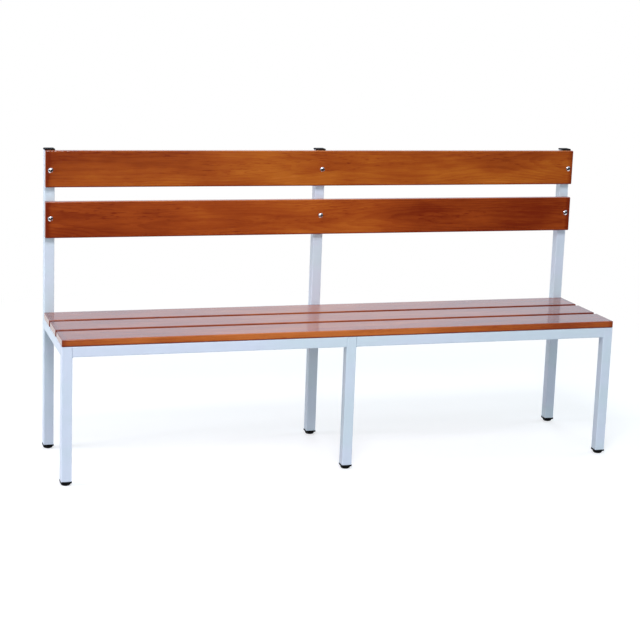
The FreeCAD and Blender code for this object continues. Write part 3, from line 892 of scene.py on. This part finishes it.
def coach_bolts(build, place, depth, sizes):
    """A domed head on the board, with a square neck and a plain shank behind it."""
    head_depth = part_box("back_slat_upper")[0].y - place.y
    seat = place + BACKWARD * head_depth
    head = sizes.bolt_head / 2
    crown = dome(head, head_depth - sizes.bolt_rim, sizes.bolt_rim)
    turned(build, [(0, 0), (head, 0), *crown], seat, FORWARD)

    side, run = sizes.bolt_shank, sizes.neck_length
    middle = Matrix.Translation(seat + BACKWARD * (run / 2))
    bmesh.ops.create_cube(build, size=1, matrix=middle @ Matrix.Diagonal((side, run, side, 1)))

    shank = sizes.bolt_shank / 2
    chamfer = shank * SHANK_CHAMFER
    reach = depth - head_depth
    rod = [(0, 0), (shank, 0), (shank, reach - chamfer), (shank - chamfer, reach), (0, reach)]
    turned(build, rod, seat, BACKWARD, SHANK_SEGMENTS)


def washers(build, place, depth, sizes):
    """A plain washer with the slightly rounded edge of a stamping."""
    outer = sizes.washer / 2
    bore = sizes.washer_bore / 2
    ease = depth * WASHER_EASE
    section = [
        (bore, 0), (outer - ease, 0), (outer, ease), (outer, depth - ease),
        (outer - ease, depth), (bore + ease, depth), (bore, depth - ease),
    ]
    rings = turned(build, section, place, BACKWARD)
    join_rings(build, (rings[-1], rings[0]), ROUND_SEGMENTS)


def domed_nuts(build, place, depth, sizes):
    """A domed nut: a hexagon with chamfered corners under a round crown."""
    hexagon = sizes.nut_hexagon
    half_flats = sizes.nut_flats / 2
    sixth = math.tau / 6
    corners = half_flats / math.cos(sixth / 2)
    cut = corners - half_flats * CHAMFER_REACH
    bore = sizes.bolt_shank / 2
    crown = sizes.nut_dome / 2
    groove = crown * GROOVE_REACH
    parts = [step / CHAMFER_STEPS for step in range(CHAMFER_STEPS + 1)]
    rise = [(corners - cut * (1 - part), cut * CHAMFER_SLOPE * part) for part in parts]
    fall = [(radius, hexagon - drop) for radius, drop in reversed(rise)]
    profile = [(0, hexagon), (bore, hexagon), (bore, 0), *rise, *fall]
    profile += [(groove, hexagon), (groove, hexagon + GROOVE_HEIGHT), (crown, hexagon + DOME_FOOT)]
    profile += dome(crown, crown, depth - crown)

    def hexagonal(radius, height, turn):
        return min(radius, half_flats / math.cos(turn % sixth - sixth / 2))

    turned(build, profile, place, BACKWARD, NUT_SEGMENTS, hexagonal)


class BENCH_OT_fit_bolts(bpy.types.Operator):
    """Turn the coach bolts, washers and domed nuts of the back in full"""

    bl_idname = "bench.fit_bolts"
    bl_label = "Fit the Back's Bolts"

    def execute(self, context):
        settings = context.scene.bench
        sizes = settings.fasteners
        plating = made_once(bright_plating, settings.plating)
        plain_nodes = {coach_bolts: "back_bolts", washers: "back_washers", domed_nuts: "back_nuts"}
        for make, node in plain_nodes.items():
            low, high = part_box(node)
            build = bmesh.new()
            for x, z in bolt_axes(sizes.bolt_head):
                make(build, Vector((x, low.y, z)), high.y - low.y, sizes)
            new_piece(make.__name__, build, plating, (node,))
        return {"FINISHED"}


# Screws of the seat

# A pan head's flat and shoulder, as parts of its radius and height
HEAD_FLAT = 0.62
HEAD_SHOULDER = 0.35
HEAD_STEPS = 6

# A cross recess: half the width of an arm, and how far its floor reaches in and narrows
RECESS_ARM = 0.25
RECESS_FLOOR = 0.5
RECESS_TAPER = 0.8

# A thread: its core as a part of the shank, its point in shank diameters, and how steep its crest is
THREAD_CORE = 0.72
POINT_LENGTH = 0.8
CREST_STEEPNESS = 4
ROWS_PER_PITCH = 4


def cross_outline(reach, width, height):
    """The twelve corners of a cross recess at a height."""
    arm = [(reach, -width), (reach, width), (width, width)]
    corners = []
    for quarter in range(4):
        turn = Matrix.Rotation(quarter * math.pi / 2, 3, "Z")
        corners += [turn @ Vector((x, y, height)) for x, y in arm]
    return corners


def recessed_head(build, place, sizes):
    """A pan head that looks down, with a tapered cross recess."""
    radius = sizes.screw_head / 2
    height = sizes.screw_head_height
    flat = radius * HEAD_FLAT
    shoulder = height * HEAD_SHOULDER
    turns = [math.pi / 2 * step / HEAD_STEPS for step in range(HEAD_STEPS + 1)]
    corner = [
        (flat + (radius - flat) * math.cos(turn), shoulder + (height - shoulder) * math.sin(turn))
        for turn in turns
    ]
    rim = turned(build, [(0, 0), (radius, 0), *corner], place, DOWN)[-1]
    face_down = UP.rotation_difference(DOWN).to_matrix()

    def loop(reach, width, depth):
        outline = cross_outline(reach, width, height - depth)
        return [build.verts.new(place + face_down @ point) for point in outline]

    width = sizes.recess * RECESS_ARM
    mouth = loop(sizes.recess, width, 0)
    floor = loop(sizes.recess * RECESS_FLOOR, width * RECESS_TAPER, sizes.recess_depth)
    edges = []
    for ring in (rim, mouth):
        for pair in zip(ring, ring[1:] + ring[:1]):
            edges.append(build.edges.get(pair) or build.edges.new(pair))
    bmesh.ops.triangle_fill(build, use_beauty=True, edges=edges)
    join_rings(build, (mouth, floor), len(mouth))
    build.faces.new(floor)


def threaded_shank(build, place, top, sizes):
    """A screw's shank up into the board, with a helical thread and a point."""
    radius = sizes.screw_shank / 2
    point = sizes.screw_shank * POINT_LENGTH
    run = top - place.z
    rows = int(run / sizes.thread_pitch * ROWS_PER_PITCH)
    heights = [run * row / rows for row in range(rows)]
    shank = [(radius * min((run - height) / point, 1), height) for height in heights]

    def threaded(radius, height, turn):
        phase = (height / sizes.thread_pitch - turn / math.tau) % 1
        crest = max(1 - abs(phase - 0.5) * CREST_STEEPNESS, 0)
        return radius * (THREAD_CORE + (1 - THREAD_CORE) * crest)

    turned(build, [(0, 0), *shank, (0, run)], place, UP, SHANK_SEGMENTS, threaded)


class BENCH_OT_drive_screws(bpy.types.Operator):
    """Model the screws that hold the seat boards from below"""

    bl_idname = "bench.drive_screws"
    bl_label = "Drive the Seat's Screws"

    def execute(self, context):
        settings = context.scene.bench
        sizes = settings.fasteners
        plating = made_once(bright_plating, settings.plating)
        for row in SEAT_ROWS:
            low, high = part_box(f"seat_screws_{row}")
            lines = (low.y + sizes.screw_head / 2, high.y - sizes.screw_head / 2)
            build = bmesh.new()
            for rail in CROSS_RAILS:
                rail_low, rail_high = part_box(rail)
                for y in lines:
                    place = Vector(((rail_low.x + rail_high.x) / 2, y, rail_low.z))
                    recessed_head(build, place, sizes)
                    threaded_shank(build, place, high.z, sizes)
            new_piece(f"pan_head_screws_{row}", build, plating, (f"seat_screws_{row}",))
        return {"FINISHED"}


# Studio

# What glossy faces see: the backdrop stands to the left of straight behind, and reaches overhead
BACKDROP_TURN = -0.6
OVERHEAD = (0.12, 0.6)
OVERHEAD_SHARE = 0.8
DARK_TO_BRIGHT = (-0.35, 0.25)

# The floor's size in metres, and its faint clouds
FLOOR_RADIUS = 14
FLOOR_SEGMENTS = 96
FLOOR_CLOUDS = Waves(even(0.8))
FLOOR_CLOUD_SHARE = 0.04

# The dark cloth's corners and lift off the floor in metres, and its weave
FLAG_CORNERS = ((-11, -11), (11, -11), (11, 7), (2.6, 7), (2.6, -0.5), (-11, -0.5))
FLAG_LIFT = 0.01
FLAG_WEAVE = Waves(even(900))
FLAG_ROUGHNESS = 0.9


def studio_world(studio):
    """Even light from all round, white to the camera, with a dark side behind the camera for gloss."""
    world = bpy.data.worlds.new("studio")
    world.use_nodes = True
    nodes = NodeTree(world.node_tree)
    rays = nodes.add("ShaderNodeLightPath").outputs
    to_right, to_back, upward = nodes.split(nodes.add("ShaderNodeTexCoord").outputs["Generated"])
    toward_backdrop = nodes.math("MULTIPLY_ADD", to_right, BACKDROP_TURN, to_back)
    brightness = nodes.total((toward_backdrop, 1.0), (nodes.spread(upward, *OVERHEAD), OVERHEAD_SHARE))
    bright = nodes.spread(brightness, *DARK_TO_BRIGHT)
    mirrored = nodes.mix(bright, opaque(studio.dark_side), opaque(studio.backdrop))
    light = nodes.glow("ShaderNodeBackground", opaque(studio.sky), studio.sky_level)
    gloss = nodes.glow("ShaderNodeBackground", mirrored)
    white = nodes.glow("ShaderNodeBackground", WHITE)
    in_gloss = nodes.math("MAXIMUM", rays["Is Glossy Ray"], rays["Is Transmission Ray"])
    unseen = nodes.choose(in_gloss, light, gloss)
    nodes.output("ShaderNodeOutputWorld", nodes.choose(rays["Is Camera Ray"], unseen, white))
    return world


def floor_finish(studio):
    """A pale floor that reads as white where no shadow falls on it."""
    finish = Finish("pale_floor")
    rays = finish.add("ShaderNodeLightPath").outputs
    clouds = finish.math("MULTIPLY", finish.marks(finish.place, FLOOR_CLOUDS), FLOOR_CLOUD_SHARE)
    tint = finish.mix(clouds, opaque(studio.floor), WHITE)
    plain = finish.feed_all(finish.add("ShaderNodeBsdfDiffuse"), (tint,))["BSDF"]
    lit = finish.glow("ShaderNodeEmission", WHITE, studio.floor_glow)
    near = finish.feed_all(finish.add("ShaderNodeAddShader"), (plain, lit))["Shader"]
    white = finish.glow("ShaderNodeEmission", WHITE)
    from_middle = finish.vector("LENGTH", finish.place)
    far = finish.spread(from_middle, studio.shadow_reach, studio.white_reach)
    in_gloss = finish.math("MAXIMUM", rays["Is Glossy Ray"], rays["Is Transmission Ray"])
    seen = finish.math("MAXIMUM", rays["Is Camera Ray"], in_gloss)
    surface = finish.choose(seen, plain, finish.choose(far, near, white))
    finish.output("ShaderNodeOutputMaterial", surface)
    return finish.material


def dark_cloth(studio):
    """A dull woven cloth that swallows light."""
    finish = Finish("dark_cloth")
    weave = finish.mix(finish.noise(finish.place, FLAG_WEAVE), opaque(studio.flag), BLACK)
    finish.set(base_color=weave, roughness=FLAG_ROUGHNESS, specular_ior_level=0.0)
    return finish.material


def lay_flat(name, corners, height, material):
    """A flat piece of the studio, which isn't part of the bench."""
    mesh = bpy.data.meshes.new(name)
    mesh.from_pydata([(x, y, height) for x, y in corners], [], [range(len(corners))])
    mesh.materials.append(material)
    laid = bpy.data.objects.new(name, mesh)
    bpy.context.scene.collection.objects.link(laid)
    return laid


def lay_floor(studio):
    """A wide round floor, with a dark cloth on it that keeps its white out of the varnish."""
    turns = [math.tau * step / FLOOR_SEGMENTS for step in range(FLOOR_SEGMENTS)]
    rim = [(FLOOR_RADIUS * math.cos(turn), FLOOR_RADIUS * math.sin(turn)) for turn in turns]
    lay_flat("floor", rim, 0, floor_finish(studio))
    flag = lay_flat("flag", FLAG_CORNERS, FLAG_LIFT, dark_cloth(studio))
    flag.visible_camera = False
    flag.visible_diffuse = False
    flag.visible_shadow = False


class Softbox(NamedTuple):
    """A square lamp, named as its power is among the settings."""

    name: str
    place: Vector
    size: float
    warm: bool
    in_gloss: bool


SOFTBOXES = (
    Softbox("key_light", Vector((-0.9, -2.6, 3.1)), 1.2, True, True),
    Softbox("front_light", Vector((0.0, -7.0, 1.2)), 4.0, False, False),
    Softbox("left_light", Vector((-4.6, 0.2, 2.2)), 1.8, True, False),
    Softbox("right_light", Vector((6.0, 0.5, 1.6)), 3.0, False, False),
    Softbox("back_light", Vector((1.0, 6.0, 1.6)), 3.0, False, False),
)


def add_softbox(softbox, target, studio):
    """A softbox that looks at a point."""
    lamp = bpy.data.lights.new(softbox.name, "AREA")
    lamp.shape = "SQUARE"
    lamp.size = softbox.size
    lamp.energy = getattr(studio, softbox.name)
    lamp.color = studio.warm_light if softbox.warm else studio.cool_light
    box = bpy.data.objects.new(softbox.name, lamp)
    box.location = softbox.place
    box.rotation_mode = "QUATERNION"
    box.rotation_quaternion = (target - softbox.place).to_track_quat("-Z", "Y")
    box.visible_camera = False
    box.visible_glossy = softbox.in_gloss
    bpy.context.scene.collection.objects.link(box)


def add_camera(studio):
    """The camera, turned, tilted and rolled from straight ahead."""
    lens = bpy.data.cameras.new("camera")
    lens.lens = studio.camera_lens
    lens.shift_x, lens.shift_y = studio.camera_shift
    camera = bpy.data.objects.new("camera", lens)
    turn = Matrix.Rotation(-studio.camera_turn, 4, "Z")
    tilt = Matrix.Rotation(math.pi / 2 - studio.camera_tilt, 4, "X")
    roll = Matrix.Rotation(studio.camera_roll, 4, "Z")
    camera.matrix_world = Matrix.Translation(studio.camera_place) @ turn @ tilt @ roll
    bpy.context.scene.collection.objects.link(camera)
    bpy.context.scene.camera = camera


class BENCH_OT_set_stage(bpy.types.Operator):
    """Set the floor, the studio light and the camera"""

    bl_idname = "bench.set_stage"
    bl_label = "Set the Stage"

    def execute(self, context):
        studio = context.scene.bench.studio
        context.scene.view_settings.view_transform = "Standard"
        context.scene.world = studio_world(studio)
        lay_floor(studio)
        bench_middle = (CAD_BOX[0] + CAD_BOX[1]) / 2
        for softbox in SOFTBOXES:
            add_softbox(softbox, bench_middle, studio)
        add_camera(studio)
        return {"FINISHED"}


# Panel and registration

PIECES = (
    BENCH_OT_coat_tubes,
    BENCH_OT_weld_rails,
    BENCH_OT_varnish_boards,
    BENCH_OT_mould_plastics,
    BENCH_OT_fit_bolts,
    BENCH_OT_drive_screws,
    BENCH_OT_set_stage,
)

SETTINGS = (
    BenchWoodSettings,
    BenchPaintSettings,
    BenchPlasticSettings,
    BenchPlatingSettings,
    BenchWeldSettings,
    BenchFastenerSettings,
    BenchStudioSettings,
    BenchSettings,
)


class BENCH_PT_sidebar(bpy.types.Panel):
    """The bench's operators and settings"""

    bl_label = "Slatted Bench"
    bl_idname = "BENCH_PT_sidebar"
    bl_space_type = "VIEW_3D"
    bl_region_type = "UI"
    bl_category = "Bench"

    def draw(self, context):
        settings = context.scene.bench
        for piece in PIECES:
            self.layout.operator(piece.bl_idname)
        for name in BenchSettings.__annotations__:
            box = self.layout.box()
            box.label(text=name.capitalize())
            values = getattr(settings, name)
            for value in values.__annotations__:
                box.prop(values, value)


CLASSES = (*SETTINGS, *PIECES, BENCH_PT_sidebar)


def register():
    for item in CLASSES:
        bpy.utils.register_class(item)
    bpy.types.Scene.bench = group(BenchSettings, "Bench", "Sizes and colours of the bench")


def unregister():
    del bpy.types.Scene.bench
    for item in reversed(CLASSES):
        bpy.utils.unregister_class(item)


def main():
    register()
    bpy.ops.bench.coat_tubes()
    bpy.ops.bench.weld_rails()
    bpy.ops.bench.varnish_boards()
    bpy.ops.bench.mould_plastics()
    bpy.ops.bench.fit_bolts()
    bpy.ops.bench.drive_screws()
    bpy.ops.bench.set_stage()


if __name__ == "__main__":
    main()
